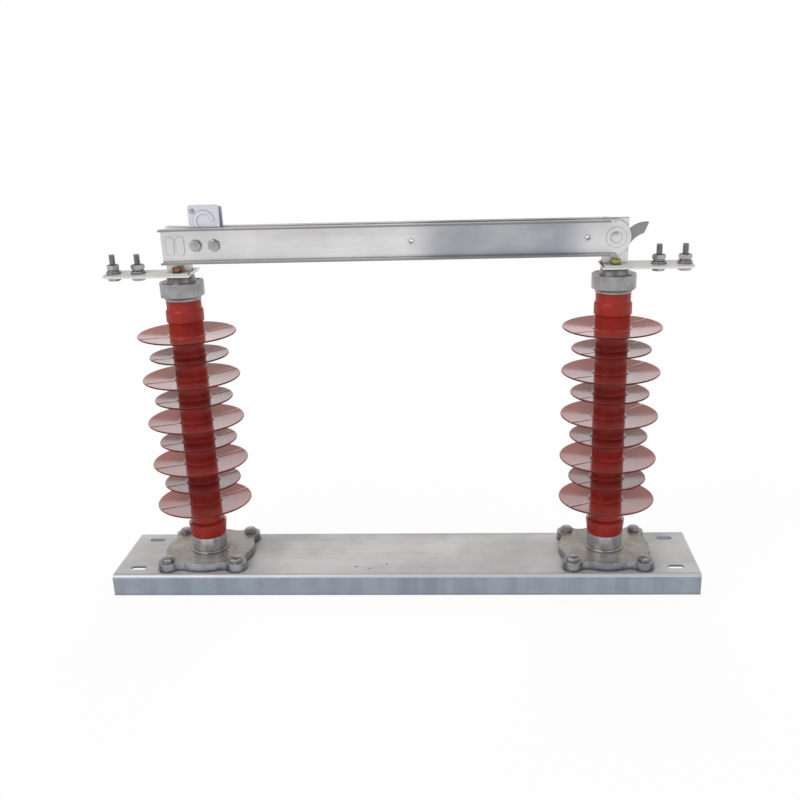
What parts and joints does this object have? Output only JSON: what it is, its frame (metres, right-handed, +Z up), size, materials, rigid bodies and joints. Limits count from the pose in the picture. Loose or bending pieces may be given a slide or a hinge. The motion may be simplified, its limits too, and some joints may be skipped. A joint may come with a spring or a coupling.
{
  "type": "substation disconnect switch",
  "caption": "Outdoor hook-stick disconnect switch: channel base, shedded post insulators with caps and terminal bars, and a double-leaf blade hinged at one end.",
  "frame": {"origin": "centre of the base channel's underside, where it rests on its steelwork", "axes": "+X along the blade towards its hinge, +Y to the back, +Z up"},
  "size_m": [1.005, 0.168, 0.6535],
  "materials": {
    "galvanised_sheet": "hot-dip galvanised folded sheet, warm light grey",
    "galvanised_casting": "hot-dip galvanised casting",
    "red_silicone": "glossy deep red silicone rubber",
    "tinned_copper": "tin-plated copper, warm pale grey",
    "tinned_blade": "tin-plated copper, satin, brushed lengthwise",
    "bright_plate": "bright zinc plate, bluish white",
    "plain_steel": "dull grey galvanised steel",
    "zinc_fastener": "dull zinc-coated steel",
    "copper_bolt": "browned copper-coloured bolt",
    "yellow_zinc": "yellow zinc plating"
  },
  "bodies": {
    "frame": {"base_channel": "galvanised_sheet", "left_foot_flange": "galvanised_casting", "left_flange_bolts": "zinc_fastener", "left_insulator_housing": "red_silicone", "left_top_cap": "galvanised_casting", "left_terminal_bar": "tinned_copper", "left_terminal_bolts": "zinc_fastener", "left_terminal_washers": "zinc_fastener", "left_terminal_nuts": "zinc_fastener", "right_foot_flange": "galvanised_casting", "right_flange_bolts": "zinc_fastener", "right_insulator_housing": "red_silicone", "right_top_cap": "galvanised_casting", "right_terminal_bar": "tinned_copper", "right_terminal_bolts": "zinc_fastener", "right_terminal_washers": "zinc_fastener", "right_terminal_nuts": "zinc_fastener", "contact_angle_front": "tinned_copper", "contact_angle_back": "tinned_copper", "contact_core_plate": "tinned_copper", "contact_hold_down_bolts": "copper_bolt", "hinge_angle_front": "tinned_copper", "hinge_angle_back": "tinned_copper", "hinge_core_plate": "plain_steel", "hinge_hold_down_bolts": "yellow_zinc"},
    "blade": {"blade_leaf_front": "tinned_blade", "blade_leaf_back": "tinned_blade", "hinge_pin": "tinned_blade", "hinge_nut": "zinc_fastener", "blade_pressure_bolts": "zinc_fastener", "blade_pressure_nuts": "zinc_fastener", "hinge_end_spacer": "tinned_blade", "middle_spacer": "tinned_blade", "pull_plate_front": "bright_plate", "pull_plate_back": "bright_plate", "pull_plate_rivet": "zinc_fastener"}
  },
  "joints": [
    {"name": "blade_hinge", "type": "hinge", "parent": "frame", "child": "blade", "pos_m": [0.35, 0, 0.59], "axis": [0, 1, 0], "range_deg": [0, 135]}
  ]
}
